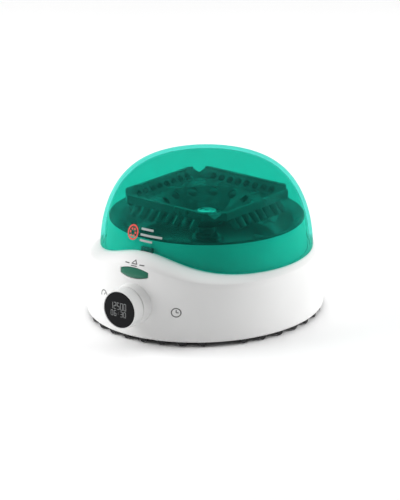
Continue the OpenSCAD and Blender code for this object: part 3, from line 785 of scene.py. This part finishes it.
def digit_strokes(text, u, v, width, height, gap, stroke):
    """Seven-segment figures from left to right, centred on u."""
    total = len(text) * width + (len(text) - 1) * gap
    x = u - total / 2
    strokes = []
    for figure in text:
        a, b = x, x + width
        top, mid, low = v + height / 2, v, v - height / 2
        lines = {
            "a": ((a, top), (b, top)), "b": ((b, top), (b, mid)), "c": ((b, mid), (b, low)),
            "d": ((a, low), (b, low)), "e": ((a, mid), (a, low)), "f": ((a, top), (a, mid)),
            "g": ((a, mid), (b, mid)),
        }
        if figure == ":":
            strokes += [(((x + width / 2, v + s), (x + width / 2, v + s + stroke)), stroke, False)
                        for s in (-0.5, 0.5)]
        else:
            strokes += [(lines[s], stroke, False) for s in SEGMENTS[figure]]
        x += width + gap
    return strokes


def build_marks():
    digits = digit_strokes("12500", -1.0, 3.1, 2.0, 5.6, 1.3, 0.4)
    digits += digit_strokes("06:30", -1.0, -3.4, 1.9, 4.4, 1.3, 0.36)
    printed("display_digits", digits, on_knob, "knob_carrier", digit_grey, 0.03)
    clock = [(circle(37.5, 29.4, 3.6, 28), 0.9, True), (((37.5, 29.4), (37.5, 31.7)), 0.8, False),
             (((37.5, 29.4), (39.4, 29.4)), 0.8, False)]
    printed("time_mark", clock, on_wall, "base", print_grey)
    gauge = [(arc(-34.0, 31.5, 3.8, -20, 200), 0.9, False), (((-34.0, 31.5), (-32.2, 33.6)), 0.8, False)]
    printed("speed_mark", gauge, on_wall, "base", print_grey)
    eject = [(((-2.6, 65.8), (2.6, 65.8), (0, 68.4)), 0.7, True), (((-2.9, 64.2), (2.9, 64.2)), 0.8, False)]
    eject += [(((u, 65.6), (u + 4.5, 65.6)), 0.8, False) for u in (-9.5, 5.0)]
    printed("open_mark", eject, on_wall, "base", print_grey)
    rotor = [(circle(-16, 85, 5.6, 28), 1.4, True)]
    rotor += [(circle(-16 + 3.0 * cos_d(60 * k), 85 + 3.0 * sin_d(60 * k), 0.6, 12), 0.8, True)
              for k in range(6)]
    printed("lid_mark_rotor", rotor, on_lid, "lid", print_red)
    bars = [(((-7, 85 + s), (15 - 2 * abs(s), 85 + s)), 1.7, False) for s in (-4.6, 0, 4.6)]
    printed("lid_mark_bars", bars, on_lid, "lid", print_light)


# ---- carried-over CAD nodes: softened edges and their materials

CARRIED = {
    "base_plate": (base_black, 0.35), "rubber_feet": (foot_rubber, 0.4), "lid_hook": (hook_black, 0.2),
    "lid_hinge_arm": (arm_white, 0.45), "lid_magnet": (nickel, 0.1), "hinge_pin": (pin_steel, 0.15),
    "latch_slider": (natural_white, 0.15), "latch_guide": (natural_white, 0.25),
    "rotor_body": (rotor_dark, 0.35), "rotor_hub": (dark_steel, 0.3), "rotor_nut": (aluminium, 0.35),
    "motor_shaft": (pin_steel, 0.2), "armature": (copper, 0.3), "motor_can": (drawn_steel, 0.4),
    "motor_cap": (drawn_steel, 0.3), "stator": (iron, 0.2), "bearings": (steel, 0.2),
    "motor_bracket": (drawn_steel, 0.3), "rubber_dampers": (foot_rubber, 0.4),
    "bracket_screws": (steel, 0.2), "motor_screws": (steel, 0.2), "knob_stem": (natural_white, 0.2),
    "display_module": (display_glass, 0.15), "encoder": (board_green, 0.1),
    "push_switch": (part_black, 0.15), "control_board": (board_green, 0.1),
    "board_parts": (part_black, 0.2), "board_standoffs": (part_black, 0.2),
    "lid_sensor": (board_green, 0.1), "dc_inlet": (part_black, 0.2), "dc_inlet_pin": (brass, 0.1),
    "switch_frame": (part_black, 0.25), "switch_rocker": (rocker_black, 0.3),
}


def carry(node, material, edge):
    """Keeps a CAD node's shape, rounds its edges a little and gives it a material."""
    obj = nodes[node]
    obj.data.materials.clear()
    obj.data.materials.append(material)
    weld = obj.modifiers.new("weld", "WELD")
    weld.merge_threshold = 2e-6
    soften = obj.modifiers.new("soften", "BEVEL")
    soften.width = edge * MM
    soften.segments = 2
    soften.limit_method = "ANGLE"
    soften.angle_limit = math.radians(35)
    soften.use_clamp_overlap = True


build_housing()
build_lid()
build_chamber()
build_knob()
build_button()
build_springs()
build_screws()
build_marks()
for node_name, (node_material, node_edge) in CARRIED.items():
    carry(node_name, node_material, node_edge)


# ---- camera, light and floor

CAMERA_AZIMUTH, CAMERA_ELEVATION = 34.8, 18.3
CAMERA_DISTANCE = 2500
CAMERA_SPAN = 420.2
AIM = Vector((0, 5.17, 60))
AIM_RIGHT, AIM_UP = 2.86, 8.74
FLOOR_HALF = 6.0
FLOOR_WHITE = (0.93, 0.93, 0.93)
AMBIENT = 0.29
LIGHT_TARGET = Vector((0, 0.005, 0.06))


def build_camera():
    a, e = CAMERA_AZIMUTH, CAMERA_ELEVATION
    back = Vector((sin_d(a) * cos_d(e), -cos_d(a) * cos_d(e), sin_d(e)))
    right = Vector((cos_d(a), sin_d(a), 0))
    up = back.cross(right)
    centre = AIM - right * AIM_RIGHT - up * AIM_UP
    data = bpy.data.cameras.new("photo_camera")
    data.sensor_width = 36
    data.lens = data.sensor_width * CAMERA_DISTANCE / CAMERA_SPAN
    data.clip_start, data.clip_end = 0.1, 20
    camera = bpy.data.objects.new("photo_camera", data)
    camera.location = (centre + back * CAMERA_DISTANCE) * MM
    camera.rotation_mode = "QUATERNION"
    camera.rotation_quaternion = (-back).to_track_quat("-Z", "Y")
    bpy.context.scene.collection.objects.link(camera)
    bpy.context.scene.camera = camera


def area_light(name, azimuth, elevation, distance, size, power, tall=None):
    """A soft box that faces the object, at an angle round it as for the camera."""
    data = bpy.data.lights.new(name, "AREA")
    data.shape = "RECTANGLE"
    data.size = size
    data.size_y = tall or size
    data.energy = power
    light = bpy.data.objects.new(name, data)
    light.visible_glossy = False
    back = Vector((sin_d(azimuth) * cos_d(elevation), -cos_d(azimuth) * cos_d(elevation), sin_d(elevation)))
    light.location = LIGHT_TARGET + back * distance
    light.rotation_mode = "QUATERNION"
    light.rotation_quaternion = (-back).to_track_quat("-Z", "Y")
    bpy.context.scene.collection.objects.link(light)


def build_stage():
    half = FLOOR_HALF
    mesh = bpy.data.meshes.new("floor")
    mesh.from_pydata([(-half, -half, 0), (half, -half, 0), (half, half, 0), (-half, half, 0)], [],
                     [(0, 1, 2, 3)])
    floor = bpy.data.objects.new("floor", mesh)
    bpy.context.scene.collection.objects.link(floor)
    pale = shader("floor_pale", FLOOR_WHITE, 0.8, specular=0.1)
    add_tint(pale, 3, FLOOR_WHITE, (0.94, 0.94, 0.94))
    mesh.materials.append(pale)

    world = bpy.data.worlds.new("studio")
    bpy.context.scene.world = world
    world.use_nodes = True
    tree = world.node_tree
    ambient = tree.nodes["Background"]
    ambient.inputs["Color"].default_value = (1, 1, 1, 1)
    ambient.inputs["Strength"].default_value = AMBIENT
    seen = tree.nodes.new("ShaderNodeBackground")
    seen.inputs["Color"].default_value = (1, 1, 1, 1)
    seen.inputs["Strength"].default_value = 1.0
    ray = tree.nodes.new("ShaderNodeLightPath")
    direct = tree.nodes.new("ShaderNodeMath")
    direct.operation = "LESS_THAN"
    direct.inputs[1].default_value = 0.5
    through = tree.nodes.new("ShaderNodeMath")
    through.operation = "MULTIPLY"
    either = tree.nodes.new("ShaderNodeMath")
    either.operation = "MAXIMUM"
    choose = tree.nodes.new("ShaderNodeMixShader")
    tree.links.new(ray.outputs["Is Camera Ray"], either.inputs[0])
    tree.links.new(ray.outputs["Diffuse Depth"], direct.inputs[0])
    tree.links.new(ray.outputs["Is Transmission Ray"], through.inputs[0])
    tree.links.new(direct.outputs[0], through.inputs[1])
    tree.links.new(through.outputs[0], either.inputs[1])
    tree.links.new(either.outputs[0], choose.inputs["Fac"])
    tree.links.new(ambient.outputs[0], choose.inputs[1])
    tree.links.new(seen.outputs[0], choose.inputs[2])
    tree.links.new(choose.outputs[0], tree.nodes["World Output"].inputs["Surface"])

    area_light("left_soft_box", CAMERA_AZIMUTH - 97, 25, 1.3, 1.0, 15)
    area_light("top_soft_box", 0, 88, 1.4, 1.2, 4.5)
    area_light("rear_soft_box", CAMERA_AZIMUTH + 180, 50, 2.1, 2.0, 17)
    area_light("right_soft_box", CAMERA_AZIMUTH + 98, 20, 1.4, 0.8, 16)
    bpy.context.scene.view_settings.view_transform = "Standard"


build_camera()
build_stage()
